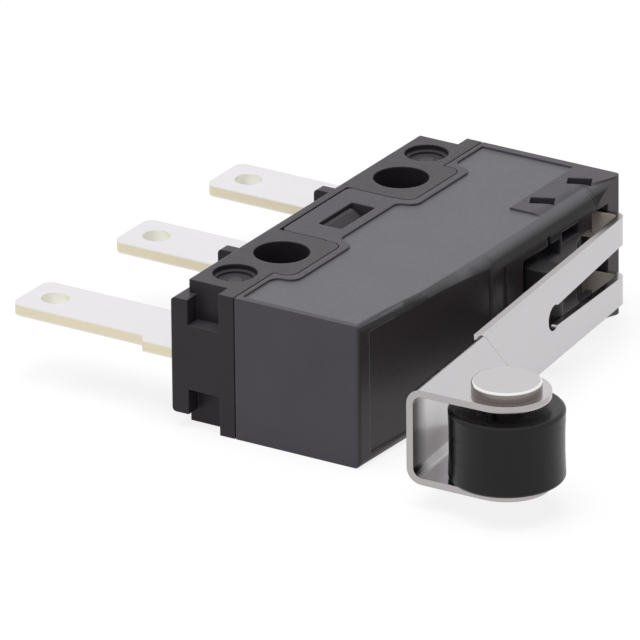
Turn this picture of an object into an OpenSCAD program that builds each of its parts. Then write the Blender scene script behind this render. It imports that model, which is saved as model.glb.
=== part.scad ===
// Subminiature lever micro switch with a roller lever, single-pole changeover contacts and three blade terminals.
// X runs along the case towards the roller, Y from the terminals towards the lever, Z through the thickness.
// The origin is on the axis of the mounting hole nearest the lever's hinge, in the lower big face. Sizes in mm.

/* [Case] */
// Length of the case along X
case_len = 19.8; // [19.4:0.1:20.6]
// Thickness of the case along Z
case_thk = 6.4; // [6.2:0.05:7]
// Height of the lever-side face above the hole axes
face_y = 7.76; // [7.6:0.02:8.1]
// Fall of the lever-side face from its level part to the roller end
face_fall = 0.78; // [0.4:0.02:1]
// Position along X where the lever-side face starts to fall
slope_x = 4.95; // [4.7:0.05:6]
// Depth of the terminal-side face below the hole axes
floor_y = 1.78; // [1.7:0.02:1.9]
// How far the foot stands out of the terminal-side face
foot_out = 0.44; // [0.3:0.02:0.6]
// Height of the joint between base and cover
joint_y = 0.86; // [0.8:0.02:0.95]
// Wall thickness of the cover
wall = 0.8; // [0.7:0.02:0.85]
// Radius of the big round along the lever-side edges over the hinge
edge_r = 1; // [0.8:0.05:1.1]
// Radius of the other outside edges of the cover
edge_small_r = 0.2; // [0.1:0.02:0.3]
// Depth of the marking panel in the upper big face
panel_depth = 0.1; // [0.06:0.01:0.15]
// Depth of the notches in the end faces of the base
notch = 0.75; // [0.6:0.05:0.9]

/* [Mounting] */
// Diameter of the two mounting holes
hole_d = 2.4; // [2.2:0.05:2.5]
// Distance between the two mounting holes
hole_pitch = 9.5; // [9.5:0.05:9.6]
// Half width of the lobes of the base around the holes
lobe_half = 2; // [1.9:0.02:2.05]
// Height of the lobes above the hole axes
lobe_y = 1.75; // [1.65:0.02:1.8]

/* [Lever] */
// Thickness of the lever sheet
lever_t = 0.3; // [0.25:0.01:0.32]
// Width of the lever
lever_w = 4; // [3.8:0.05:4.1]
// Slope of the lever at rest (degrees)
lever_tilt = 5.91; // [5.5:0.1:6.5]
// Position of the hinge bar along X
pivot_x = -3.08; // [-3.12:0.01:-3.04]
// Height of the hinge bar
pivot_y = 6.73; // [6.7:0.01:6.76]
// Radius of the hinge bar
pivot_r = 0.3; // [0.27:0.01:0.31]
// Distance from the hinge bar to the inner face of the lever
lever_rise = 1.84; // [1.8:0.01:1.95]
// Length of the lever from the hinge bar to its free end
lever_len = 20.2; // [19.8:0.05:20.6]
// Height of the folded bracket along Z
bracket_h = 4.24; // [4.2:0.02:4.5]
// Outside radius of the bracket's folds
fold_r = 0.7; // [0.5:0.05:0.8]

/* [Roller] */
// Radius of the roller
roller_r = 2.45; // [2.3:0.05:2.6]
// Length of the roller
roller_len = 3.14; // [2.9:0.02:3.2]
// Distance of the roller axis from the hinge bar along the lever
roller_a = 18.6; // [18.4:0.05:18.8]
// Distance of the roller axis from the hinge bar across the lever
roller_b = 5.66; // [5.5:0.02:5.8]
// Radius of the rounded ears that hold the rivet
ear_r = 1.87; // [1.7:0.05:2]
// Radius of the rivet's shank
rivet_r = 0.6; // [0.5:0.02:0.7]
// Radius of the rivet's head
rivet_head_r = 1.48; // [1.3:0.05:1.6]
// Height of the rivet's head
rivet_head_h = 0.45; // [0.3:0.05:0.55]

/* [Terminals] */
// Width of the terminal blades
blade_w = 2.8; // [2.6:0.05:2.8]
// Thickness of the terminal blades
blade_t = 0.5; // [0.45:0.01:0.5]
// Distance from the hole axes to the tips of the terminals
tip_y = 10.62; // [10.2:0.05:11]
// Diameter of the holes in the terminals
eye_d = 1.2; // [1:0.05:1.4]
// Distance of those holes from the tips
eye_in = 1.32; // [1.2:0.05:1.6]

/* [Mechanism] */
// Position of the plunger along X
plunger_x = 1.92; // [1.88:0.01:1.96]
// Width of the plunger along X
plunger_w = 1.2; // [1.1:0.02:1.24]
// Width of the plunger along Z
plunger_h = 3.2; // [3:0.05:3.3]
// Height of the moving blade at rest
leaf_y = 3.9; // [3.86:0.01:3.94]
// Thickness of the moving blade
leaf_t = 0.12; // [0.1:0.01:0.14]
// Open gap between the contacts
contact_gap = 0.5; // [0.48:0.01:0.55]

/* [Hidden] */
$fn = 48;
// Clearances: running fit of hinge and roller, gap of loose pieces, rest gap of touching pieces
run_fit = 0.05;
loose = 0.05;
touch = 0.02;
// visible gap where base and cover meet
part_gap = 0.06;
x_mid = hole_pitch / 2;
x_min = x_mid - case_len / 2;
x_max = x_mid + case_len / 2;
zc = case_thk / 2;
face_low_y = face_y - face_fall;
ceiling_y = face_y - wall;
foot_y = floor_y + foot_out;
foot_half = zc - 0.61;
foot_top_y = -1.42;
bar_half = 1.45;
band_y = 0.13;
tab_x = lobe_half + 0.1;
tab_y = -1.32;
tab_r = 0.25;
plug_y = 1.25;
lobe_r = 0.5;
boss_y = face_y - 1.56;
pocket_floor_y = face_y - 2.86;
guide_y = face_y - 0.6;
hook_in = pivot_r + run_fit;
hook_out = hook_in + lever_t;
hook_bend_r = 0.5;
hook_z = zc - 2.2;
bracket_half = bracket_h / 2;
ear_in = bracket_half - lever_t;
roller_z = zc - ear_in + 0.06;
// where the lever's strip ends and the folds of its bracket start
fold_a = roller_a - 4.85;
dome_r = plunger_w / 2;
// height of the lever's inner face above the hinge, at the plunger
lever_face_y = pivot_y + lever_rise / cos(lever_tilt) + tan(lever_tilt) * (plunger_x - pivot_x);
dome_y = lever_face_y - (dome_r + touch) / cos(lever_tilt);
nc_x = x_max - 1.97;
no_x = x_mid + 0.05;
com_x = x_min + 2.65;
contact_x = x_max - 2.65;
contact_r = 0.55;
head_h = 0.39;
leaf_half = 1.3;
window_half = 0.6;
window_x = 6.5;
post_x = com_x + 0.15;
leaf_x = post_x - 0.15;
notch_y = leaf_y - 1.15;
no_top_y = leaf_y - leaf_t / 2 - head_h - contact_gap;
nc_low_y = leaf_y + leaf_t / 2 + head_h + touch;
arm_y = lobe_y + 0.1;
arm_h = 0.6;
spring_t = 0.1;
spring_mid_y = leaf_y + 0.4;
foot_tip_y = spring_mid_y + spring_t / 2 + touch;

// a block given by its limits
module span(x0, x1, y0, y1, z0, z1) {
    translate([x0, y0, z0]) cube([x1 - x0, y1 - y0, z1 - z0]);
}

// a flat shape in X and Y, drawn out between two heights
module rise(z0, z1) {
    translate([0, 0, z0]) linear_extrude(height = z1 - z0) children();
}

// a flat shape in Y and Z, drawn out along X
module along_x(x0, x1) {
    translate([x0, 0, 0]) rotate([90, 0, 90]) linear_extrude(height = x1 - x0) children();
}

// a flat shape in X and Z, drawn out along Y
module along_y(y0, y1) {
    translate([0, y1, 0]) rotate([90, 0, 0]) linear_extrude(height = y1 - y0) children();
}

// a rectangle with rounded corners
module round_rect(x0, x1, y0, y1, r) {
    translate([x0 + r, y0]) square([x1 - x0 - 2 * r, y1 - y0]);
    translate([x0, y0 + r]) square([x1 - x0, y1 - y0 - 2 * r]);
    for (x = [x0 + r, x1 - r]) for (y = [y0 + r, y1 - r]) translate([x, y]) circle(r = r);
}

// the piece and its mirror image through the middle of the thickness
module both_sides() {
    children();
    translate([0, 0, case_thk]) mirror([0, 0, 1]) children();
}

// the piece in the lever's own frame: hinge bar at the origin, lever along X
module on_lever() {
    translate([pivot_x, pivot_y, zc]) rotate([0, 0, lever_tilt]) children();
}

// block, bands, bars and foot of the base before anything is cut
module base_body() {
    span(x_min + notch, x_max - notch, -floor_y, joint_y, 0, case_thk);
    span(x_min, x_max, band_y, joint_y, 0, case_thk);
    span(x_min, x_max, foot_top_y - 0.1, band_y + 0.1, zc - bar_half, zc + bar_half);
    along_x(x_min, x_max) round_rect(-foot_y, foot_top_y, zc - foot_half, zc + foot_half, 0.18);
    along_x(x_min, x_max) translate([foot_top_y - 0.4, zc - foot_half]) square([0.4, 2 * foot_half]);
    span(x_min + wall + loose, x_max - wall - loose, joint_y - 0.1, plug_y, wall + loose, case_thk - wall - loose);
    for (x = [0, hole_pitch]) {
        rise(0, case_thk) round_rect(x - lobe_half, x + lobe_half, 0, lobe_y, lobe_r);
    }
}

// barrier ribs between the terminals
module barrier_ribs() {
    for (x = [(com_x + no_x) / 2, (no_x + nc_x) / 2]) along_x(x - 0.27, x + 0.27) {
        round_rect(-foot_y - 1.28, -foot_y + 0.6, zc - foot_half + 0.16, zc + foot_half - 0.16, 0.2);
    }
}

// catch under each window of the cover: a ramp that ends in a steep face
module catch_wedge() {
    along_x(x_mid - 1.08, x_mid + 1.2) polygon([
        [joint_y - 0.1, case_thk - wall - 0.2], [-0.3, case_thk - wall - 0.2],
        [-0.3, case_thk - 0.15], [-0.12, case_thk - 0.15], [joint_y - 0.1, case_thk - wall + 0.12]]);
}

// outlines of the terminals, each one piece from tip to contact arm
module terminal_tail(x, w) {
    difference() {
        union() {
            translate([x - w / 2, -tip_y + 0.45]) square([w, tip_y - 0.45 + foot_top_y]);
            translate([x - w / 2 + 0.45, -tip_y]) square([w - 0.9, 1]);
            for (s = [-1, 1]) translate([x + s * (w / 2 - 0.45), -tip_y + 0.45]) circle(r = 0.45);
        }
        translate([x, -tip_y + eye_in]) circle(d = eye_d);
    }
}

module com_outline() {
    terminal_tail(com_x, blade_w);
    difference() {
        translate([post_x - 0.95, foot_top_y - 0.1]) square([0.95, leaf_y + 0.5 - foot_top_y + 0.1]);
        for (y = [leaf_y, notch_y]) translate([post_x, y]) polygon([[-0.25, 0], [0.1, -0.35], [0.1, 0.35]]);
    }
}

module no_outline() {
    terminal_tail(no_x, blade_w);
    translate([no_x - 0.7, foot_top_y - 0.1]) square([1.4, arm_y + arm_h - foot_top_y + 0.1]);
    translate([no_x - 0.7, arm_y]) square([contact_x + 0.7 - no_x + 0.7, arm_h]);
}

module nc_outline() {
    terminal_tail(nc_x, blade_w);
    // shoulder that rests against the foot
    translate([nc_x, -foot_y]) polygon([[0, -1.9], [blade_w / 2, -1.85], [blade_w / 2 + 0.5, -1.5],
        [blade_w / 2 + 0.5, 0], [0, 0]]);
    translate([x_max - wall - 0.85, foot_top_y - 0.1]) square([0.7, nc_low_y + 1.03 - foot_top_y + 0.1]);
    translate([contact_x - 0.6, nc_low_y + 0.43]) square([x_max - wall - 0.15 - contact_x + 0.6, 0.6]);
}

module terminal_sheet() {
    rise(zc - blade_t / 2, zc + blade_t / 2) children();
}

module case_base() {
    color("#46464c") difference() {
        union() {
            difference() {
                union() {
                    base_body();
                    barrier_ribs();
                }
                // seats of the cover's latch tabs
                both_sides() span(tab_x - loose, hole_pitch - tab_x + loose, tab_y - 0.1, plug_y + 1,
                    case_thk - wall - touch, case_thk + 1);
            }
            both_sides() catch_wedge();
        }
        for (x = [0, hole_pitch]) {
            translate([x, 0, -1]) cylinder(r = hole_d / 2, h = case_thk + 2);
        }
        // blind ejector recesses, stepped, with a gate mark left in each
        both_sides() for (s = [-1, 1]) translate([x_mid + s * (case_len / 2 - 2.29), -0.5, case_thk]) {
            translate([0, 0, -0.24]) cylinder(r = 0.95, h = 1);
            difference() {
                translate([0, 0, -0.36]) cylinder(r = 0.78, h = 1);
                translate([0, 0, -0.4]) cylinder(r = 0.35, h = 0.1);
            }
        }
        terminal_sheet() {
            com_outline();
            no_outline();
            nc_outline();
        }
    }
}

// outline of the cover seen along Z
module cover_outline() {
    difference() {
        intersection() {
            round_rect(x_min, x_max, joint_y - 3, face_y, edge_small_r);
            polygon([[x_min - 1, joint_y + part_gap], [x_max + 1, joint_y + part_gap],
                [x_max + 1, face_y - face_fall * (x_max + 1 - slope_x) / (x_max - slope_x)],
                [slope_x, face_y], [x_min - 1, face_y]]);
        }
        difference() {
            translate([x_max - edge_small_r, face_low_y - edge_small_r]) square(1);
            translate([x_max - edge_small_r, face_low_y - edge_small_r + 0.016]) circle(r = edge_small_r);
        }
    }
}

// what a round leaves off a long edge along X, whose faces meet at the origin; its radius goes from r0 to r1
module edge_cut(r0, r1, len) {
    turn = atan2(r0 - r1, len);
    translate([0, -r0 * cos(turn), -r0 * cos(turn)]) rotate([0, -asin(tan(turn)), 0]) rotate([0, 0, turn]) difference() {
        cube([len, 2 * r0 + 1, 2 * r0 + 1]);
        rotate([0, 90, 0]) cylinder(r1 = r0, r2 = r1, h = len);
    }
}

// rounds of the lever-side edges: large over the hinge, smaller towards the roller end
module edge_rounds() {
    hook_x = pivot_x - 0.2;
    translate([hook_x, face_y, case_thk]) edge_cut(edge_r, edge_r, slope_x - hook_x);
    translate([slope_x - 0.1, face_y, case_thk]) rotate([0, 0, -atan2(face_fall, x_max - slope_x)]) {
        edge_cut(edge_r, edge_small_r, x_max - slope_x + 0.3);
    }
    // run-out towards the hinge end
    translate([hook_x, face_y - edge_r, case_thk - edge_r]) mirror([1, 0, 0]) rotate([0, -10, 10]) difference() {
        cube([3, 4, 4]);
        translate([-1, 0, 0]) rotate([0, 90, 0]) cylinder(r = edge_r, h = 5);
    }
}

// fills the inner corner of two edges with a round; sx and sy point into the open side
module corner_fill(x, y, sx, sy, r) {
    translate([x, y]) scale([sx, sy]) difference() {
        translate([-0.1, -0.1]) square(r + 0.1);
        translate([r, r]) circle(r = r);
    }
}

// rim left standing below the marking panel: along the joint and round each lobe
module panel_rim() {
    low = joint_y + 0.27;
    tab_rim = joint_y + 0.44;
    side = lobe_half + 0.36;
    top = lobe_y + 0.38;
    translate([x_min - 1, -1]) square([case_len + 2, low + 1]);
    translate([0, -1]) square([hole_pitch, tab_rim + 1]);
    for (x = [0, hole_pitch]) round_rect(x - side, x + side, -2, top, 0.55);
    corner_fill(-side, low, -1, 1, 0.45);
    corner_fill(hole_pitch + side, low, 1, 1, 0.45);
    corner_fill(side, tab_rim, 1, 1, 0.4);
    corner_fill(hole_pitch - side, tab_rim, -1, 1, 0.4);
}

// marking panel in the upper big face
module panel_outline() {
    difference() {
        polygon([[x_min + 0.4, joint_y], [x_max - 0.33, joint_y], [x_max - 0.33, face_low_y - 0.26],
            [slope_x, face_y - 0.28], [0.45, face_y - 0.28], [0.45, face_y - 2.1], [x_min + 0.4, face_y - 2.1]]);
        panel_rim();
    }
}

// room inside the cover for the mechanism
module cavity_outline() {
    polygon([[x_min + wall, -2], [x_max - wall, -2], [x_max - wall, face_low_y - wall], [slope_x, ceiling_y],
        [plunger_x + 1.7, ceiling_y], [plunger_x + 1.7, boss_y], [plunger_x - 1.35, boss_y],
        [plunger_x - 1.35, pocket_floor_y], [x_min + wall, pocket_floor_y]]);
}

// openings and pockets in the lever-side face
module face_pockets() {
    // recess and guide of the plunger
    span(plunger_x - 0.87, plunger_x + 0.91, guide_y, face_y + 1, zc - 2.02, zc + 2.02);
    span(plunger_x - plunger_w / 2 - loose, plunger_x + plunger_w / 2 + loose, 0, face_y + 1,
        zc - plunger_h / 2 - loose, zc + plunger_h / 2 + loose);
    both_sides() {
        span(-0.17, plunger_x, guide_y, face_y + 1, zc + 1.3, zc + 2.02);
        span(0.55, 0.85, face_y - 0.25, face_y + 1, zc + 1.9, zc + 2.4);
        span(-1.71, -0.32, face_y - 1.4, face_y + 1, zc + 1.7, zc + 2.22);
    }
    // hinge pocket with room for the lever's hooks, and the relief beside it
    span(pivot_x - 1.02, pivot_x + 0.28, pivot_y - 0.4, face_y + 1, hook_z, case_thk - hook_z);
    translate([pivot_x, pivot_y, hook_z]) cylinder(r = hook_out + 0.13, h = case_thk - 2 * hook_z);
    along_y(pivot_y + 0.3, face_y + 1) round_rect(pivot_x + 0.2, -1.55, zc - 1.5, zc + 1.5, 0.4);
    // shallow relief across the face beside the plunger
    span(slope_x - 0.9, slope_x - 0.55, face_y - 0.1, face_y + 1, 0.9, case_thk - 0.9);
    // shallow panel of the sloping face
    translate([slope_x, face_y, 0]) rotate([0, 0, -atan2(face_fall, x_max - slope_x)]) {
        span(0.3, x_max - slope_x - 0.75, -0.08, 1, 0.45, case_thk - 0.45);
    }
}

// skewed windows in the big faces beside the hinge
module skew_windows() {
    both_sides() for (p = [[-0.89, face_y - 1.3], [-3.54, face_y - 1.06]]) {
        translate([p[0], p[1], case_thk - 0.6]) rotate([0, 0, 25]) translate([-0.34, -0.53, 0]) cube([0.68, 1.06, 2]);
    }
}

module case_cover() {
    color("#4c4c53") difference() {
        union() {
            difference() {
                rise(0, case_thk) cover_outline();
                rise(wall, case_thk - wall) cavity_outline();
                for (x = [0, hole_pitch]) rise(-1, case_thk + 1) {
                    round_rect(x - lobe_half - loose, x + lobe_half + loose, -1, lobe_y + loose, lobe_r + loose);
                }
                face_pockets();
                both_sides() edge_rounds();
                skew_windows();
                rise(case_thk - panel_depth, case_thk + 1) panel_outline();
            }
            // latch tabs
            both_sides() rise(case_thk - wall, case_thk) {
                round_rect(tab_x, hole_pitch - tab_x, tab_y, tab_y + 1, tab_r);
                translate([tab_x, tab_y + tab_r]) square([hole_pitch - 2 * tab_x, joint_y + 0.2 - tab_y - tab_r]);
            }
            // hinge bar
            translate([pivot_x, pivot_y, hook_z - 0.1]) cylinder(r = pivot_r, h = case_thk - 2 * hook_z + 0.2);
        }
        // windows of the latch tabs
        both_sides() rise(case_thk - wall - 1, case_thk + 1) {
            round_rect(x_mid - 1.37, x_mid + 1.35, -0.35, joint_y - 0.03, 0.12);
        }
    }
}

module plunger() {
    color("#8c8c90") union() {
        rise(zc - plunger_h / 2, zc + plunger_h / 2) {
            translate([plunger_x, dome_y]) circle(r = dome_r);
            translate([plunger_x - dome_r, boss_y - 0.65]) square([plunger_w, dome_y - boss_y + 0.65]);
        }
        span(plunger_x - 0.95, plunger_x + 0.95, boss_y - 0.65, boss_y - loose, zc - plunger_h / 2 - 0.25,
            zc + plunger_h / 2 + 0.25);
        rise(zc - 0.4, zc + 0.4) {
            translate([plunger_x, foot_tip_y + 0.45]) circle(r = 0.45);
            translate([plunger_x - 0.45, foot_tip_y + 0.45]) square([0.9, boss_y - 0.4 - foot_tip_y - 0.45]);
        }
    }
}

// strip, bend and hinge eye of the lever seen from the side
module strip_outline() {
    translate([hook_bend_r - hook_out, lever_rise]) square([fold_a - hook_bend_r + hook_out, lever_t]);
    intersection() {
        translate([hook_bend_r - hook_out, lever_rise + lever_t - hook_bend_r]) difference() {
            circle(r = hook_bend_r);
            circle(r = hook_bend_r - lever_t);
        }
        translate([-hook_out, lever_rise + lever_t - hook_bend_r]) square(hook_bend_r);
    }
    translate([-hook_out, 0]) square([lever_t, lever_rise + lever_t - hook_bend_r]);
    difference() {
        circle(r = hook_out);
        circle(r = hook_in);
        polygon([[-2, 0], [0, 0], [2, 0.5], [2, 2], [-2, 2]]);
    }
}

// cross-section of the folded bracket
module channel_section(half, r, low) {
    translate([low + r, -half]) square([9, 2 * half]);
    translate([low, -half + r]) square([r + 1, 2 * half - 2 * r]);
    for (s = [-1, 1]) translate([low + r, s * (half - r)]) circle(r = r);
}

// side view of the bracket: foot on the strip, hollow edge towards the hinge, round ears
module bracket_outline() {
    difference() {
        union() {
            polygon([[fold_a - 0.15, lever_rise - 0.1], [lever_len, lever_rise - 0.1], [lever_len, lever_rise + 0.6],
                [roller_a + ear_r * cos(5), roller_b - ear_r * sin(5)], [roller_a, roller_b],
                [roller_a - ear_r * cos(18), roller_b - ear_r * sin(18)],
                [roller_a - 2.9, (roller_b + lever_rise) / 2 + 0.26], [fold_a + 0.5, lever_rise + 0.88],
                [fold_a, lever_rise + lever_t + 0.02], [fold_a - 0.15, lever_rise + lever_t]]);
            translate([roller_a, roller_b]) circle(r = ear_r);
        }
        translate([roller_a, roller_b]) circle(r = rivet_r);
    }
}

module lever() {
    color("#cbc7cb") on_lever() {
        difference() {
            translate([0, 0, -lever_w / 2]) linear_extrude(height = lever_w) strip_outline();
            // slot between the two legs, widening towards the hinge, with a round blind end
            rotate([90, 0, 0]) translate([0, 0, -9]) linear_extrude(height = 18) {
                polygon([[6.5, 0.45], [-1.5, 0.8], [-1.5, -0.8], [6.5, -0.45]]);
                translate([6.55, 0]) circle(r = 0.57);
            }
        }
        intersection() {
            rotate([90, 0, 90]) translate([0, 0, fold_a - 0.15]) linear_extrude(height = 9) difference() {
                channel_section(bracket_half, fold_r, lever_rise);
                channel_section(ear_in, fold_r - lever_t, lever_rise + lever_t);
            }
            translate([0, 0, -3]) linear_extrude(height = 6) bracket_outline();
        }
    }
}

module roller() {
    bore = rivet_r + run_fit;
    color("#1d1d1f") on_lever() translate([roller_a, roller_b, roller_z - zc]) rotate_extrude() {
        difference() {
            union() {
                translate([bore, 0]) square([roller_r - bore - 0.2, roller_len]);
                translate([bore, 0.2]) square([roller_r - bore, roller_len - 0.4]);
                for (z = [0.2, roller_len - 0.2]) translate([roller_r - 0.2, z]) circle(r = 0.2);
            }
            translate([roller_r + 24.95, roller_len / 2]) circle(r = 25, $fn = 192);
        }
    }
}

module roller_rivet() {
    color("#c9c5c6") on_lever() translate([roller_a, roller_b, 0]) rotate_extrude() {
        translate([0, -bracket_half - 0.3]) square([rivet_r, bracket_h + 0.5]);
        translate([0, bracket_half]) square([rivet_head_r, rivet_head_h - 0.15]);
        translate([0, bracket_half]) square([rivet_head_r - 0.15, rivet_head_h]);
        translate([rivet_head_r - 0.15, bracket_half + rivet_head_h - 0.15]) circle(r = 0.15);
        translate([0, -bracket_half - 0.3]) polygon([[0, 0], [0.85, 0], [1, 0.15], [1, 0.3], [0, 0.3]]);
    }
}

module terminal_com() {
    color("#e6e2e8") terminal_sheet() com_outline();
}

module terminal_no() {
    color("#e6e2e8") terminal_sheet() no_outline();
}

module terminal_nc() {
    color("#e6e2e8") terminal_sheet() nc_outline();
}

// rectangular contact pads welded on the edges of the contact arms
module fixed_contact_no() {
    color("#dcdcd6") along_y(arm_y + arm_h, no_top_y) {
        translate([contact_x, zc]) round_rect(-0.5, 0.5, -0.35, 0.35, 0.1);
    }
}

module fixed_contact_nc() {
    color("#dcdcd6") along_y(nc_low_y, nc_low_y + 0.43) {
        translate([contact_x, zc]) round_rect(-0.5, 0.5, -0.35, 0.35, 0.1);
    }
}

module contact_blade() {
    color("#c99a54") along_y(leaf_y - leaf_t / 2, leaf_y + leaf_t / 2) translate([0, zc]) difference() {
        union() {
            translate([leaf_x, -leaf_half]) square([window_x + 1.2 - leaf_x, 2 * leaf_half]);
            translate([window_x, -0.8]) square([contact_x + 0.7 - window_x, 1.6]);
        }
        translate([leaf_x + 1.3, -window_half]) square([window_x - leaf_x - 1.3, 2 * window_half]);
        translate([contact_x, 0]) circle(r = 0.3);
    }
}

module moving_contact() {
    color("#dcdcd6") translate([contact_x, leaf_y, zc]) rotate([90, 0, 0]) rotate_extrude() {
        translate([0, -leaf_t / 2 - 0.1]) square([0.3, leaf_t + 0.2]);
        for (s = [0, 1]) mirror([0, s]) translate([0, leaf_t / 2]) {
            square([contact_r, head_h - 0.1]);
            square([contact_r - 0.12, head_h]);
        }
    }
}

// arched leaf between the lower notch of the common post and the far edge of the blade's window
module snap_spring() {
    ax = leaf_x;
    ay = notch_y;
    bx = plunger_x;
    by = spring_mid_y;
    cx = window_x - 0.05;
    cy = leaf_y;
    d = 2 * (ax * (by - cy) + bx * (cy - ay) + cx * (ay - by));
    ux = ((ax * ax + ay * ay) * (by - cy) + (bx * bx + by * by) * (cy - ay) + (cx * cx + cy * cy) * (ay - by)) / d;
    uy = ((ax * ax + ay * ay) * (cx - bx) + (bx * bx + by * by) * (ax - cx) + (cx * cx + cy * cy) * (bx - ax)) / d;
    r = norm([ax - ux, ay - uy]);
    color("#b8863f") rise(zc - 0.35, zc + 0.35) intersection() {
        translate([ux, uy]) difference() {
            circle(r = r + spring_t / 2, $fn = 192);
            circle(r = r - spring_t / 2, $fn = 192);
        }
        polygon([[ux, uy], [ux + 2 * (ax - ux), uy + 2 * (ay - uy)], [ux + 2 * (bx - ux), uy + 2 * (by - uy)],
            [ux + 2 * (cx - ux), uy + 2 * (cy - uy)]]);
    }
}

case_base();
case_cover();
plunger();
lever();
roller();
roller_rivet();
terminal_com();
terminal_no();
terminal_nc();
fixed_contact_no();
fixed_contact_nc();
contact_blade();
moving_contact();
snap_spring();
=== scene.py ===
"""Finishes and studio stage for a subminiature lever micro switch with a roller."""

import math

import bpy
from bpy.props import FloatProperty, FloatVectorProperty, PointerProperty
from mathutils import Matrix, Vector


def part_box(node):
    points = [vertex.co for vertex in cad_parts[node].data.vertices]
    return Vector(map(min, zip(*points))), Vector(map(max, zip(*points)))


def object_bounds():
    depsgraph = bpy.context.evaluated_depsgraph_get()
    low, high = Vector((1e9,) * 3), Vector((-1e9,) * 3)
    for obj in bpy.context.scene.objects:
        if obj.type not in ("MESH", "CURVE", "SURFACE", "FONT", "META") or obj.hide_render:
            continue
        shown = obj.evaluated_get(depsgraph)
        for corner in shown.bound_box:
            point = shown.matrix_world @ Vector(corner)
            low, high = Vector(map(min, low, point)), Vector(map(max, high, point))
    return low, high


bl_info = {
    "name": "Lever micro switch",
    "version": (1, 0, 0),
    "blender": (4, 5, 0),
    "location": "View3D > Sidebar > Micro switch",
    "description": "Finishes a lever micro switch and sets it on a pale studio stage",
    "category": "Object",
}

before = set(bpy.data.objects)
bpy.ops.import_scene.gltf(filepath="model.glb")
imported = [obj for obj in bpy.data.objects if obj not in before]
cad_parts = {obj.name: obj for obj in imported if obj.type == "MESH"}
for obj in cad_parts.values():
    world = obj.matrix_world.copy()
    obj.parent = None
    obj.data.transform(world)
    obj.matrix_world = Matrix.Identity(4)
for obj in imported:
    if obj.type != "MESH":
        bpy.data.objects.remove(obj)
CAD_BOX = [list(corner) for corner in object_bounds()]
CASE_LOW, CASE_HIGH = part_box("case_cover")
TERMINAL_LOW, TERMINAL_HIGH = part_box("terminal_no")
LEVER_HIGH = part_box("lever")[1]
MM = 0.001
TERMINALS = ("terminal_com", "terminal_no", "terminal_nc")

# sizes of the part that its boxes don't give
PANEL_DEPTH = 0.1 * MM  # the marking panel under the face
STRIP_HALF = 2.0 * MM  # half the width of the lever's strip
EYE_IN = 1.32 * MM  # from a terminal's tip to the middle of its hole
EYE_X = {"terminal_com": -2.5 * MM, "terminal_no": 4.8 * MM, "terminal_nc": 12.68 * MM}
LEVER_TILT = math.radians(5.91)

# the two ends of the range over which each painted zone fades in or out
PANEL_TOP = (PANEL_DEPTH * 0.6, PANEL_DEPTH * 0.9)
PANEL_RUN_OUT = (PANEL_DEPTH * 4.5, PANEL_DEPTH * 8.5)
ROUND_Z = (CASE_HIGH[2] - 1.6 * MM, CASE_HIGH[2] - 1.3 * MM)
STRIP_EDGE = (0.04 * MM, 0.06 * MM)
EAR_OFF = (1.86 * MM, 1.92 * MM)
EAR_X = (11.0 * MM, 11.5 * MM)
BRACKET_INSIDE = (1.84 * MM, 1.90 * MM)
BRACKET_X = (12.5 * MM, 14.5 * MM)
BRACKET_LOW_Z = (2.4 * MM, 4.2 * MM)
BRACKET_END_X = (LEVER_HIGH[0] - 1.35 * MM, LEVER_HIGH[0] - 0.35 * MM)
HOOK_X = (-2.6 * MM, -2.2 * MM)
EYE_WALL = (0.64 * MM, 0.68 * MM)

# stage
FLOOR_GAP = 0.00002
FLOOR_WHITE = 1.02  # a little over plain white, on rays that see the floor directly
OVERHEAD_PLACE, OVERHEAD_SIZE, GLINT_SIZE = (0.05, -0.02, 0.40), 0.40, 0.16
SIDE_PLACE, SIDE_SIZE = (0.34, -0.24, 0.16), 0.22


# ---------------------------------------------------------------- settings


def colour(name, description, default):
    """A colour that the user can change."""
    return FloatVectorProperty(
        name=name, description=description, default=default, subtype="COLOR", size=3, min=0, max=1
    )


def share(name, description, default, top=1.0):
    """A plain factor that the user can change."""
    return FloatProperty(name=name, description=description, default=default, min=0, max=top, subtype="FACTOR")


def length(name, description, default):
    """A length that the user can change."""
    return FloatProperty(
        name=name, description=description, default=default, subtype="DISTANCE", unit="LENGTH", precision=5
    )


class SWITCH_PG_plastic(bpy.types.PropertyGroup):
    """Colours and gloss of the moulded pieces."""

    base_colour: colour("Base colour", "Colour of the terminal side of the case", (0.0264, 0.0212, 0.0258))
    cover_colour: colour("Cover colour", "Colour of the cover", (0.063, 0.058, 0.068))
    # painted shade: the cover's faces under the lever are darkened for the lever's shade and its dark reflection; they
    # are also really a little smoother
    lever_side_shade_colour: colour(
        "Lever side colour", "Colour of the cover's smoother face under the lever", (0.046, 0.038, 0.0405)
    )
    # painted shade: the round between the panel and the lever side is darkened where it turns away from the light
    round_shade_colour: colour(
        "Round colour", "Colour of the rounded edge between the panel and the lever side", (0.013, 0.0115, 0.0125)
    )
    # painted light: the terminal side's upward faces are made lighter than its other faces, as if lit from above
    base_top_light_colour: colour("Base top colour", "Colour of the upward faces of the terminal side", (0.047, 0.043, 0.050))
    panel_colour: colour("Marking panel colour", "Colour of the blank marking panel", (0.108, 0.1075, 0.118))
    plunger_colour: colour("Plunger colour", "Colour of the plunger", (0.020, 0.019, 0.020))
    roller_colour: colour("Roller colour", "Colour of the roller", (0.0048, 0.0040, 0.0046))
    case_gloss: share("Case gloss", "Strength of the case's mirror reflection", 0.2)
    roller_gloss: share("Roller gloss", "Strength of the roller's mirror reflection", 0.27)
    case_roughness: share("Case roughness", "Roughness of the moulded case", 0.42)
    roller_roughness: share("Roller roughness", "Roughness of the roller", 0.3)
    grain_size: length("Grain size", "Width of one grain of the moulded surface", 0.00012)
    edge_radius: length("Edge radius", "Softness of the moulded edges", 0.00009)


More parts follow.
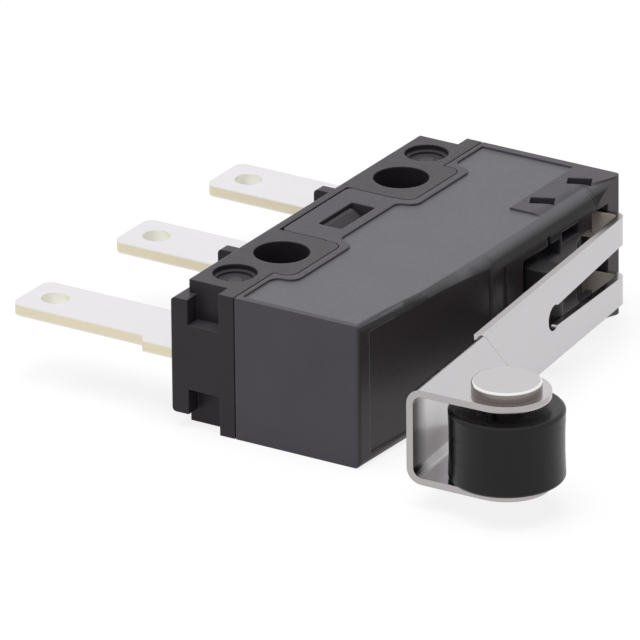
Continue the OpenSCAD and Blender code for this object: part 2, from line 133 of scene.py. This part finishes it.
class SWITCH_PG_metal(bpy.types.PropertyGroup):
    """Colours and gloss of the metal pieces."""

    sheet_colour: colour("Lever colour", "Colour of the stainless lever", (0.55, 0.526, 0.545))
    # painted reflection and shade: the bracket's inside is darkened low down behind the roller, where it mirrors the
    # dark roller
    bracket_low_reflection_colour: colour(
        "Bracket inner colour", "Colour of the lever's folded bracket inside, low down behind the roller",
        (0.34, 0.325, 0.325),
    )
    # painted reflection: the near-black strip along the end of the bracket's inside stands for the dark things it
    # mirrors, not for a dull finish
    bracket_end_dark_reflection_colour: colour(
        "Bracket end colour", "Colour of the dull strip along the end of the bracket's inside", (0.036, 0.032, 0.030)
    )
    # painted light: the hooks' inner faces get a pale warm matt colour for the light seen on them in the gap
    hook_painted_light_colour: colour("Hook colour", "Colour of the inner faces of the lever's hooks", (0.72, 0.64, 0.56))
    sheet_edge_colour: colour("Lever edge colour", "Colour of the cut edges of the lever's strip", (0.43, 0.405, 0.405))
    rivet_colour: colour("Rivet colour", "Colour of the nickel-plated rivet", (0.57, 0.55, 0.56))
    # painted shade: the upright side of the rivet's head is darkened for the darker surroundings it mirrors
    rivet_side_shade_colour: colour(
        "Rivet side colour", "Colour of the turned side of the rivet's head", (0.225, 0.200, 0.188)
    )
    # painted glint: the rim of the rivet's head is made paler to stand for a lamp's reflection
    rivet_rim_glint_colour: colour("Rivet rim colour", "Colour of the polished rim of the rivet's head", (0.86, 0.84, 0.82))
    plate_colour: colour("Plating colour", "Colour of the silver plating on the terminals", (0.81, 0.79, 0.81))
    brass_colour: colour("Brass colour", "Colour of the cut edges of the terminals", (0.785, 0.715, 0.535))
    # painted light: the walls of the terminals' holes are near-white and matt so that they look lit inside the hole
    eye_light_colour: colour("Eye colour", "Colour of the walls of the terminals' holes", (0.95, 0.93, 0.85))
    spring_colour: colour("Spring colour", "Colour of the copper-alloy leaves", (0.72, 0.44, 0.22))
    contact_colour: colour("Contact colour", "Colour of the silver contacts", (0.80, 0.79, 0.77))
    sheet_roughness: share("Lever roughness", "Roughness of the rolled sheet", 0.17)
    rivet_roughness: share("Rivet roughness", "Roughness of the rivet", 0.2)
    plate_roughness: share("Plating roughness", "Roughness of the plated faces", 0.36)
    edge_radius: length("Edge radius", "Softness of the stamped edges", 0.00005)


class SWITCH_PG_stage(bpy.types.PropertyGroup):
    """Floor, light and camera."""

    floor_colour: colour("Floor colour", "Colour of the floor", (0.86, 0.86, 0.865))
    floor_half: length("Floor half size", "Half the side of the floor", 1.2)
    floor_glow: share("Floor glow", "Share of plain white in the floor as it is seen, which lightens its shadow", 0.82)
    sky_strength: share("Sky strength", "Strength of the even light from all round", 0.28, 2.0)
    key_watts: FloatProperty(
        name="Key light", description="Power of the overhead lamp", default=1.5, min=0, unit="POWER"
    )
    glint_watts: FloatProperty(
        name="Glint lamp", description="Power of the small overhead lamp that metal mirrors",
        default=0.32, min=0, unit="POWER",
    )
    side_watts: FloatProperty(
        name="Side light", description="Power of the lamp on the terminal side", default=0.12, min=0, unit="POWER"
    )
    azimuth: FloatProperty(
        name="Azimuth", description="Camera's turn round the part", default=math.radians(122.326), subtype="ANGLE"
    )
    elevation: FloatProperty(
        name="Elevation", description="Camera's height over the horizon", default=math.radians(23.184), subtype="ANGLE"
    )
    roll: FloatProperty(
        name="Roll", description="Camera's turn about its own axis", default=math.radians(-0.582), subtype="ANGLE"
    )
    distance: length("Distance", "Camera's distance from its target", 0.5438)
    target: FloatVectorProperty(
        name="Target", description="Point the camera looks at", default=(0.009946, 0.002144, 0.003954),
        subtype="TRANSLATION", unit="LENGTH", size=3,
    )
    lens: FloatProperty(name="Lens", description="Focal length in millimetres", default=731.25, min=20)


# ------------------------------------------------------------ node helpers


def wire(tree, start, end):
    """Joins an output socket to an input socket."""
    tree.links.new(start, end)


def add(tree, kind, **values):
    """A new node; capitalised keywords set its inputs by name, others its properties."""
    node = tree.nodes.new(kind)
    for key, value in values.items():
        if key[0].isupper():
            node.inputs[key.replace("_", " ")].default_value = value
        else:
            setattr(node, key, value)
    return node


def math_node(tree, operation, a, b=None, clamp=False):
    """A Math node; a and b are sockets or numbers. Returns its output."""
    node = tree.nodes.new("ShaderNodeMath")
    node.operation = operation
    node.use_clamp = clamp
    for socket, value in zip(node.inputs, (a, b)):
        if value is None:
            continue
        if hasattr(value, "is_output"):
            wire(tree, value, socket)
        else:
            socket.default_value = value
    return node.outputs[0]


def blend_colours(tree, factor, a, b):
    """A colour that goes from a to b with the factor. a and b are sockets or colours."""
    node = tree.nodes.new("ShaderNodeMix")
    node.data_type = "RGBA"
    wire(tree, factor, node.inputs[0])
    for socket, value in ((node.inputs[6], a), (node.inputs[7], b)):
        if hasattr(value, "is_output"):
            wire(tree, value, socket)
        else:
            socket.default_value = (*value[:3], 1)
    return node.outputs[2]


def remap(tree, value, low, high, to_low, to_high):
    """The value taken from one range to another, clamped."""
    node = add(tree, "ShaderNodeMapRange", From_Min=low, From_Max=high, To_Min=to_low, To_Max=to_high)
    wire(tree, value, node.inputs["Value"])
    return node.outputs["Result"]


def new_group(name, inputs, outputs):
    """An empty shader node group with named inputs and outputs."""
    tree = bpy.data.node_groups.new(name, "ShaderNodeTree")
    for label, kind, default in inputs:
        socket = tree.interface.new_socket(name=label, in_out="INPUT", socket_type=kind)
        socket.default_value = default
    for label, kind in outputs:
        tree.interface.new_socket(name=label, in_out="OUTPUT", socket_type=kind)
    return tree, tree.nodes.new("NodeGroupInput"), tree.nodes.new("NodeGroupOutput")


def grain_group():
    """Fine moulding or rolling grain: a height and a slow tone change."""
    tree, given, made = new_group(
        "surface grain",
        [
            ("Size", "NodeSocketFloat", 0.0001),
            ("Stretch", "NodeSocketVector", (1, 1, 1)),
            ("Turn", "NodeSocketFloat", 0.0),
        ],
        [("Height", "NodeSocketFloat"), ("Tone", "NodeSocketFloat")],
    )
    turned = add(tree, "ShaderNodeVectorRotate", rotation_type="Z_AXIS")
    wire(tree, tree.nodes.new("ShaderNodeTexCoord").outputs["Object"], turned.inputs["Vector"])
    wire(tree, given.outputs["Turn"], turned.inputs["Angle"])
    stretched = add(tree, "ShaderNodeVectorMath", operation="MULTIPLY")
    wire(tree, turned.outputs[0], stretched.inputs[0])
    wire(tree, given.outputs["Stretch"], stretched.inputs[1])
    scale = math_node(tree, "DIVIDE", 1.0, given.outputs["Size"])
    fine = add(tree, "ShaderNodeTexNoise", Detail=3.0, Roughness=0.6)
    broad = add(tree, "ShaderNodeTexNoise", Detail=2.0, Roughness=0.5)
    wire(tree, stretched.outputs[0], fine.inputs["Vector"])
    wire(tree, stretched.outputs[0], broad.inputs["Vector"])
    wire(tree, scale, fine.inputs["Scale"])
    wire(tree, math_node(tree, "MULTIPLY", scale, 0.06), broad.inputs["Scale"])
    wire(tree, fine.outputs["Fac"], made.inputs["Height"])
    wire(tree, broad.outputs["Fac"], made.inputs["Tone"])
    return tree


def soft_edge_group():
    """Rounded look of small edges, and a mask of where they are."""
    tree, given, made = new_group(
        "soft edges",
        [("Radius", "NodeSocketFloat", 0.0001), ("Gain", "NodeSocketFloat", 4.0)],
        [("Normal", "NodeSocketVector"), ("Edge", "NodeSocketFloat")],
    )
    bevel = add(tree, "ShaderNodeBevel", samples=8)
    wire(tree, given.outputs["Radius"], bevel.inputs["Radius"])
    flat = tree.nodes.new("ShaderNodeNewGeometry").outputs["Normal"]
    dot = add(tree, "ShaderNodeVectorMath", operation="DOT_PRODUCT")
    wire(tree, bevel.outputs["Normal"], dot.inputs[0])
    wire(tree, flat, dot.inputs[1])
    bent = math_node(tree, "SUBTRACT", 1.0, dot.outputs["Value"])
    wire(tree, bevel.outputs["Normal"], made.inputs["Normal"])
    wire(tree, math_node(tree, "MULTIPLY", bent, given.outputs["Gain"], True), made.inputs["Edge"])
    return tree


def scratch_group():
    """Sparse fine handling scratches, as a mask."""
    tree, given, made = new_group(
        "fine scratches",
        [("Scale", "NodeSocketFloat", 900.0), ("Reach", "NodeSocketFloat", 0.04)],
        [("Mask", "NodeSocketFloat")],
    )
    place = tree.nodes.new("ShaderNodeTexCoord").outputs["Object"]
    total = None
    for turn, squeeze in ((0.5, 0.05), (2.1, 0.04)):
        turned = add(tree, "ShaderNodeMapping", Rotation=(0.2, 0.3, turn), Scale=(1.0, squeeze, squeeze))
        wire(tree, place, turned.inputs["Vector"])
        noise = add(tree, "ShaderNodeTexNoise", Detail=1.0)
        wire(tree, turned.outputs["Vector"], noise.inputs["Vector"])
        wire(tree, given.outputs["Scale"], noise.inputs["Scale"])
        near = math_node(tree, "ABSOLUTE", math_node(tree, "SUBTRACT", noise.outputs["Fac"], 0.5))
        line = math_node(tree, "SUBTRACT", 1.0, math_node(tree, "DIVIDE", near, given.outputs["Reach"]), True)
        total = line if total is None else math_node(tree, "MAXIMUM", total, line)
    wire(tree, total, made.inputs["Mask"])
    return tree


GROUPS = {}


def effect(tree, name, **values):
    """Places a shared effect in a material."""
    makers = {"grain": grain_group, "edge": soft_edge_group, "scratch": scratch_group}
    if name not in GROUPS:
        GROUPS[name] = makers[name]()
    node = tree.nodes.new("ShaderNodeGroup")
    node.node_tree = GROUPS[name]
    for key, value in values.items():
        node.inputs[key].default_value = value
    return node


def shader(name):
    """A new material with its Principled shader."""
    made = bpy.data.materials.new(name)
    made.use_nodes = True
    tree = made.node_tree
    return made, tree, tree.nodes["Principled BSDF"]


def dress(nodes, made):
    """Gives CAD nodes their material."""
    for name in nodes:
        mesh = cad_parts[name].data
        if not mesh.materials:
            mesh.materials.append(made)
        for i in range(len(mesh.materials)):
            mesh.materials[i] = made


# --------------------------------------------------------------- materials


def place_and_facing(tree):
    """Where a point of the piece is and which way its surface faces, each as three separate values."""
    coords = tree.nodes.new("ShaderNodeTexCoord")
    place = tree.nodes.new("ShaderNodeSeparateXYZ")
    facing = tree.nodes.new("ShaderNodeSeparateXYZ")
    wire(tree, coords.outputs["Object"], place.inputs[0])
    wire(tree, coords.outputs["Normal"], facing.inputs[0])
    return place.outputs, facing.outputs


def off_middle(tree, place):
    """Distance from the middle of the thickness."""
    return math_node(tree, "ABSOLUTE", math_node(tree, "SUBTRACT", place["Z"], (CASE_LOW[2] + CASE_HIGH[2]) / 2))


def where_all(tree, first, *others):
    """Where every one of the masks holds."""
    for other in others:
        first = math_node(tree, "MULTIPLY", first, other)
    return first


def flatness(tree, facing):
    """How far a face lies flat: one where it looks straight up or down, nothing where it is upright."""
    return math_node(tree, "ABSOLUTE", facing["Z"])


def panel_mask(tree):
    """The marking panel in the upper face, running out over the round beside it."""
    place, facing = place_and_facing(tree)
    depth = math_node(tree, "SUBTRACT", CASE_HIGH[2], place["Z"])
    below = remap(tree, depth, *PANEL_TOP, 0.0, 1.0)
    above = remap(tree, depth, *PANEL_RUN_OUT, 1.0, 0.0)
    return where_all(tree, below, above, remap(tree, facing["Z"], 0.5, 0.8, 0.0, 1.0))


def lever_side_mask(tree):
    """The faces and rounds that look towards the lever, where the lever's shade is painted."""
    return remap(tree, place_and_facing(tree)[1]["Y"], 0.4, 0.65, 0.0, 1.0)


def round_mask(tree):
    """The round between the marking panel and the face under the lever, where shade is painted."""
    place, facing = place_and_facing(tree)
    rising = remap(tree, facing["Z"], 0.1, 0.3, 0.0, 1.0)
    falling = remap(tree, facing["Z"], 0.55, 0.85, 1.0, 0.0)
    high = remap(tree, place["Z"], *ROUND_Z, 0.0, 1.0)
    return where_all(tree, rising, falling, high, remap(tree, facing["Y"], 0.2, 0.4, 0.0, 1.0))


def upward_mask(tree):
    """The faces of the terminal side that look up, where light from above is painted."""
    return remap(tree, place_and_facing(tree)[1]["Z"], 0.8, 0.95, 0.0, 1.0)


def blade_side(tree, facing):
    """The upright faces of a terminal: its cut edges and the walls of its hole."""
    return remap(tree, flatness(tree, facing), 0.55, 0.75, 1.0, 0.0)


def blade_edge_mask(tree):
    """The cut edges of the terminals, bare between two thin plated lips."""
    place, facing = place_and_facing(tree)
    half = (TERMINAL_HIGH[2] - TERMINAL_LOW[2]) / 2
    bare = remap(tree, off_middle(tree, place), half * 0.70, half * 0.86, 1.0, 0.2)
    return where_all(tree, blade_side(tree, facing), bare)


def cut_edge_mask(tree):
    """The cut edges of the lever: the two long ones of its strip, and those of its bracket."""
    place, facing = place_and_facing(tree)
    off = off_middle(tree, place)
    flat = remap(tree, flatness(tree, facing), 0.6, 0.9, 0.0, 1.0)
    beside = math_node(tree, "ABSOLUTE", math_node(tree, "SUBTRACT", off, STRIP_HALF))
    strip = where_all(tree, flat, remap(tree, beside, *STRIP_EDGE, 1.0, 0.0))
    ear = where_all(tree, remap(tree, facing["Y"], 0.3, 0.5, 0.0, 1.0), remap(tree, off, *EAR_OFF, 0.0, 1.0))
    bracket = math_node(tree, "MAXIMUM", remap(tree, facing["X"], 0.5, 0.7, 0.0, 1.0), ear)
    far = remap(tree, place["X"], *EAR_X, 0.0, 1.0)
    return math_node(tree, "MAXIMUM", strip, where_all(tree, bracket, far))


def bracket_inner(tree):
    """Where a point is, and the inner face of the folded bracket behind the roller."""
    place, facing = place_and_facing(tree)
    inside = remap(tree, off_middle(tree, place), *BRACKET_INSIDE, 1.0, 0.0)
    return place, where_all(tree, inside, remap(tree, facing["Y"], 0.2, 0.6, 0.0, 1.0))


def bracket_low_mask(tree):
    """The inside of the bracket, from half its height down, where the roller's dark reflection and shade are painted.
    """
    place, inner = bracket_inner(tree)
    far = remap(tree, place["X"], *BRACKET_X, 0.0, 1.0)
    return where_all(tree, inner, far, remap(tree, place["Z"], *BRACKET_LOW_Z, 1.0, 0.0))


def bracket_end_mask(tree):
    """The strip along the end of the bracket's inside, where a dark reflection is painted."""
    place, inner = bracket_inner(tree)
    return where_all(tree, inner, remap(tree, place["X"], *BRACKET_END_X, 0.0, 1.0))


def hook_inner_mask(tree):
    """The inner faces of the hooks that hold the lever in the case, where light is painted."""
    place, facing = place_and_facing(tree)
    near = remap(tree, place["X"], *HOOK_X, 1.0, 0.0)
    return where_all(tree, near, remap(tree, facing["X"], 0.3, 0.6, 0.0, 1.0))


def eye_mask(tree):
    """The walls of the holes in the terminals, where light is painted."""
    place, facing = place_and_facing(tree)
    up = math_node(tree, "SUBTRACT", place["Y"], TERMINAL_LOW[1] + EYE_IN)
    up_squared = math_node(tree, "MULTIPLY", up, up)
    nearest = None
    for name in TERMINALS:
        across = math_node(tree, "SUBTRACT", place["X"], EYE_X[name])
        squared = math_node(tree, "ADD", math_node(tree, "MULTIPLY", across, across), up_squared)
        far = math_node(tree, "SQRT", squared)
        nearest = far if nearest is None else math_node(tree, "MINIMUM", nearest, far)
    return where_all(tree, blade_side(tree, facing), remap(tree, nearest, *EYE_WALL, 1.0, 0.0))


def upright_mask(tree):
    """The upright faces of a piece that lies flat, where the rivet's side shade is painted."""
    return remap(tree, flatness(tree, place_and_facing(tree)[1]), 0.2, 0.5, 1.0, 0.0)


def rim_mask(tree):
    """The round between a lying piece's upper face and its side, where the rivet's glint is painted."""
    up = place_and_facing(tree)[1]["Z"]
    return where_all(tree, remap(tree, up, 0.2, 0.45, 0.0, 1.0), remap(tree, up, 0.82, 0.96, 1.0, 0.0))


def moulded_plastic(name, tint, roughness, gloss, grain_size, edge_radius, depth=0.12, edge_light=0.35, tints=()):
    """Fine satin plastic straight from the mould, with a painted highlight on its soft edges.

    tints holds, for some faces, a mask function, their tint, and how much smoother they are.
    """
    made, tree, bsdf = shader(name)
    grain = effect(tree, "grain", Size=grain_size)
    edge = effect(tree, "edge", Radius=edge_radius, Gain=5.0)
    tone = blend_colours(tree, grain.outputs["Tone"], [c * 0.88 for c in tint], [c * 1.12 for c in tint])
    rough = remap(tree, grain.outputs["Height"], 0.3, 0.7, roughness - 0.06, roughness + 0.08)
    height = math_node(tree, "SUBTRACT", grain.outputs["Height"], 0.5)
    for mask, second, smoother in tints:
        faces = mask(tree)
        varied = blend_colours(tree, grain.outputs["Tone"], [c * 0.93 for c in second], [c * 1.07 for c in second])
        tone = blend_colours(tree, faces, tone, varied)
        if smoother > 0:
            rough = math_node(tree, "SUBTRACT", rough, math_node(tree, "MULTIPLY", faces, smoother))
            height = math_node(tree, "MULTIPLY", height, remap(tree, faces, 0.0, 1.0, 1.0, 0.15))
    # painted highlight: the soft edges are blended towards a paler colour
    pale = [min(1.0, c * 1.9 + 0.01) for c in tint]
    painted_edge_highlight = math_node(tree, "MULTIPLY", edge.outputs["Edge"], edge_light)
    wire(tree, blend_colours(tree, painted_edge_highlight, tone, pale), bsdf.inputs["Base Color"])
    wire(tree, rough, bsdf.inputs["Roughness"])
    bump = add(tree, "ShaderNodeBump", Strength=depth, Distance=grain_size * 0.5)
    wire(tree, height, bump.inputs["Height"])
    wire(tree, edge.outputs["Normal"], bump.inputs["Normal"])
    wire(tree, bump.outputs["Normal"], bsdf.inputs["Normal"])
    bsdf.inputs["Specular IOR Level"].default_value = gloss
    return made


def sheet_metal(name, tint, roughness, edge_radius, along=(0.03, 1, 1), line=0.00005, depth=0.02, turn=0.0, tints=()):
    """Rolled or plated sheet: fine lines along it, soft stamped edges, a few handling scratches.

    tints holds, for some faces, a mask function, their tint, and how far they turn from mirror to matt.
    """
    made, tree, bsdf = shader(name)
    grain = effect(tree, "grain", Size=line, Stretch=along, Turn=turn)
    edge = effect(tree, "edge", Radius=edge_radius, Gain=3.0)
    marks = effect(tree, "scratch", Scale=1400.0, Reach=0.02)
    tone = blend_colours(tree, grain.outputs["Tone"], [c * 0.965 for c in tint], [min(1.0, c * 1.03) for c in tint])
    rough = remap(tree, grain.outputs["Height"], 0.3, 0.7, roughness - 0.03, roughness + 0.04)
    bsdf.inputs["Metallic"].default_value = 1.0
    matt = None
    for mask, second, bare in tints:
        faces = mask(tree)
        tone = blend_colours(tree, faces, tone, second)
        if bare > 0:
            part = math_node(tree, "MULTIPLY", faces, bare)
            matt = part if matt is None else math_node(tree, "MAXIMUM", matt, part)
    if matt is not None:
        rough = math_node(tree, "ADD", rough, math_node(tree, "MULTIPLY", matt, 0.3))
        wire(tree, math_node(tree, "SUBTRACT", 1.0, matt), bsdf.inputs["Metallic"])
    wire(tree, tone, bsdf.inputs["Base Color"])
    scratched = math_node(tree, "MULTIPLY", marks.outputs["Mask"], 0.06)
    wire(tree, math_node(tree, "ADD", rough, scratched), bsdf.inputs["Roughness"])
    sunk = math_node(tree, "MULTIPLY", marks.outputs["Mask"], 0.5)
    height = math_node(tree, "SUBTRACT", grain.outputs["Height"], sunk)
    bump = add(tree, "ShaderNodeBump", Strength=depth, Distance=line * 0.5)
    wire(tree, height, bump.inputs["Height"])
    wire(tree, edge.outputs["Normal"], bump.inputs["Normal"])
    wire(tree, bump.outputs["Normal"], bsdf.inputs["Normal"])
    return made


# --------------------------------------------------------------- operators


class SWITCH_OT_case(bpy.types.Operator):
    """Finish the two halves of the moulded case and the plunger"""

    bl_idname = "switch.case"
    bl_label = "Case and plunger"

    def execute(self, context):
        p = context.scene.switch_plastic
        finish = (p.case_roughness, p.case_gloss, p.grain_size, p.edge_radius)
        # painted light on the base's upward faces
        base_tints = ((upward_mask, p.base_top_light_colour, 0.0),)
        # painted shade on the lever side and its round; the panel has its own colour
        cover_tints = (
            (lever_side_mask, p.lever_side_shade_colour, 0.1),
            (round_mask, p.round_shade_colour, 0.0),
            (panel_mask, p.panel_colour, 0.0),
        )
        dress(["case_base"], moulded_plastic("base plastic", p.base_colour, *finish, tints=base_tints))
        dress(["case_cover"], moulded_plastic("cover plastic", p.cover_colour, *finish, tints=cover_tints))
        dress(["plunger"], moulded_plastic("plunger plastic", p.plunger_colour, *finish))
        return {"FINISHED"}


class SWITCH_OT_lever(bpy.types.Operator):
    """Finish the folded stainless lever and its rivet"""

    bl_idname = "switch.lever"
    bl_label = "Lever and rivet"

    def execute(self, context):
        m = context.scene.switch_metal
        lever_tints = (
            (cut_edge_mask, m.sheet_edge_colour, 0.0),
            # painted reflection and shade inside the bracket, and painted light on the hooks; the cut edges have their
            # own colour
            (bracket_low_mask, m.bracket_low_reflection_colour, 0.0),
            (bracket_end_mask, m.bracket_end_dark_reflection_colour, 0.0),
            (hook_inner_mask, m.hook_painted_light_colour, 0.8),
        )
        # painted shade on the rivet's side and a painted glint on its rim
        rivet_tints = ((upright_mask, m.rivet_side_shade_colour, 0.0), (rim_mask, m.rivet_rim_glint_colour, 0.0))
        dress(["lever"], sheet_metal("stainless sheet", m.sheet_colour, m.sheet_roughness, m.edge_radius,
                                     turn=-LEVER_TILT, tints=lever_tints))
        dress(["roller_rivet"], sheet_metal("nickel plate", m.rivet_colour, m.rivet_roughness, m.edge_radius,
                                            along=(1, 1, 1), line=0.00015, depth=0.04, tints=rivet_tints))
        return {"FINISHED"}


class SWITCH_OT_roller(bpy.types.Operator):
    """Finish the roller"""

    bl_idname = "switch.roller"
    bl_label = "Roller"

    def execute(self, context):
        p = context.scene.switch_plastic
        dress(["roller"], moulded_plastic("roller plastic", p.roller_colour, p.roller_roughness, p.roller_gloss,
                                          grain_size=0.0002, edge_radius=0.00008, depth=0.06, edge_light=0.25))
        return {"FINISHED"}


class SWITCH_OT_terminals(bpy.types.Operator):
    """Finish the plated terminals with their bare brass edges"""

    bl_idname = "switch.terminals"
    bl_label = "Terminals"

    def execute(self, context):
        m = context.scene.switch_metal
        # the brass edges are the terminals' own colour; the hole walls carry painted light
        tints = ((blade_edge_mask, m.brass_colour, 0.45), (eye_mask, m.eye_light_colour, 0.45))
        dress(TERMINALS, sheet_metal("plated terminal", m.plate_colour, m.plate_roughness, m.edge_radius,
                                     along=(1, 0.08, 1), line=0.00008, depth=0.03, tints=tints))
        return {"FINISHED"}


class SWITCH_OT_mechanism(bpy.types.Operator):
    """Finish the contacts and the leaves inside the case"""

    bl_idname = "switch.mechanism"
    bl_label = "Mechanism"

    def execute(self, context):
        m = context.scene.switch_metal
        dress(["contact_blade", "snap_spring"], sheet_metal("copper leaf", m.spring_colour, 0.3, m.edge_radius))
        dress(["fixed_contact_no", "fixed_contact_nc", "moving_contact"],
              sheet_metal("silver contact", m.contact_colour, 0.35, m.edge_radius,
                          along=(1, 1, 1), line=0.0001, depth=0.1))
        return {"FINISHED"}


def area_lamp(name, place, aim, size, watts, mirrored=False):
    """A soft square lamp at a place, aimed at a point; surfaces mirror it only where mirrored is set."""
    data = bpy.data.lights.new(name, "AREA")
    data.size = size
    data.energy = watts
    lamp = bpy.data.objects.new(name, data)
    lamp.location = place
    lamp.visible_glossy = mirrored
    lamp.rotation_euler = (Vector(aim) - Vector(place)).to_track_quat("-Z", "Y").to_euler()
    bpy.context.collection.objects.link(lamp)


def seen_directly(tree):
    """One for camera, mirror and glass rays, else nothing."""
    path = tree.nodes.new("ShaderNodeLightPath")
    some = math_node(tree, "MAXIMUM", path.outputs["Is Camera Ray"], path.outputs["Is Glossy Ray"])
    return math_node(tree, "MAXIMUM", some, path.outputs["Is Transmission Ray"])


class SWITCH_OT_stage(bpy.types.Operator):
    """Set the pale floor, the soft light and the camera"""

    bl_idname = "switch.stage"
    bl_label = "Stage"

    def execute(self, context):
        s = context.scene.switch_stage
        world = bpy.data.worlds.new("studio")
        context.scene.world = world
        world.use_nodes = True
        tree = world.node_tree
        sky = tree.nodes["Background"]
        sky.inputs["Color"].default_value = (1, 1, 1, 1)
        wire(tree, remap(tree, seen_directly(tree), 0, 1, s.sky_strength, 1.0), sky.inputs["Strength"])

        half = s.floor_half
        mesh = bpy.data.meshes.new("floor")
        corners = [(-half, -half, 0), (half, -half, 0), (half, half, 0), (-half, half, 0)]
        mesh.from_pydata(corners, [], [(0, 1, 2, 3)])
        floor = bpy.data.objects.new("floor", mesh)
        floor.location = (0, 0, CAD_BOX[0][2] - FLOOR_GAP)
        context.collection.objects.link(floor)
        paper = bpy.data.materials.new("floor paper")
        paper.use_nodes = True
        tree = paper.node_tree
        tree.nodes.remove(tree.nodes["Principled BSDF"])
        matt = add(tree, "ShaderNodeBsdfDiffuse", Color=(*s.floor_colour, 1))
        glow = add(tree, "ShaderNodeEmission", Color=(1, 1, 1, 1), Strength=FLOOR_WHITE)
        both = tree.nodes.new("ShaderNodeMixShader")
        wire(tree, math_node(tree, "MULTIPLY", seen_directly(tree), s.floor_glow), both.inputs[0])
        wire(tree, matt.outputs[0], both.inputs[1])
        wire(tree, glow.outputs[0], both.inputs[2])
        wire(tree, both.outputs[0], tree.nodes["Material Output"].inputs["Surface"])
        mesh.materials.append(paper)

        aim = tuple(s.target)
        area_lamp("overhead lamp", OVERHEAD_PLACE, aim, OVERHEAD_SIZE, s.key_watts)
        area_lamp("glint lamp", OVERHEAD_PLACE, aim, GLINT_SIZE, s.glint_watts, mirrored=True)
        area_lamp("side lamp", SIDE_PLACE, aim, SIDE_SIZE, s.side_watts)

        data = bpy.data.cameras.new("camera")
        data.sensor_width = 36.0
        data.lens = s.lens
        data.clip_start, data.clip_end = 0.01, 20
        camera = bpy.data.objects.new("camera", data)
        a, e = s.azimuth, s.elevation
        back = Vector((math.sin(a) * math.cos(e), -math.cos(a) * math.cos(e), math.sin(e)))
        turn = (-back).to_track_quat("-Z", "Y").to_matrix().to_4x4() @ Matrix.Rotation(s.roll, 4, "Z")
        camera.matrix_world = Matrix.Translation(Vector(s.target) + back * s.distance) @ turn
        context.collection.objects.link(camera)
        context.scene.camera = camera
        context.scene.view_settings.view_transform = "Standard"
        return {"FINISHED"}


class SWITCH_PT_panel(bpy.types.Panel):
    """Lists the steps and their settings"""

    bl_idname = "SWITCH_PT_panel"
    bl_label = "Lever micro switch"
    bl_space_type = "VIEW_3D"
    bl_region_type = "UI"
    bl_category = "Micro switch"

    def draw(self, context):
        for step in STEPS:
            self.layout.operator(step.bl_idname)
        for name in ("switch_plastic", "switch_metal", "switch_stage"):
            settings = getattr(context.scene, name)
            column = self.layout.column()
            for key in settings.__annotations__:
                column.prop(settings, key)


STEPS = (SWITCH_OT_case, SWITCH_OT_lever, SWITCH_OT_roller, SWITCH_OT_terminals, SWITCH_OT_mechanism, SWITCH_OT_stage)
SETTINGS = {"switch_plastic": SWITCH_PG_plastic, "switch_metal": SWITCH_PG_metal, "switch_stage": SWITCH_PG_stage}


def register():
    for cls in (*SETTINGS.values(), *STEPS, SWITCH_PT_panel):
        bpy.utils.register_class(cls)
    for name, cls in SETTINGS.items():
        setattr(bpy.types.Scene, name, PointerProperty(type=cls))


def unregister():
    for name in SETTINGS:
        delattr(bpy.types.Scene, name)
    for cls in reversed((*SETTINGS.values(), *STEPS, SWITCH_PT_panel)):
        bpy.utils.unregister_class(cls)


def main():
    """Builds everything in order."""
    register()
    bpy.ops.switch.case()
    bpy.ops.switch.lever()
    bpy.ops.switch.roller()
    bpy.ops.switch.terminals()
    bpy.ops.switch.mechanism()
    bpy.ops.switch.stage()


if __name__ == "__main__":
    main()
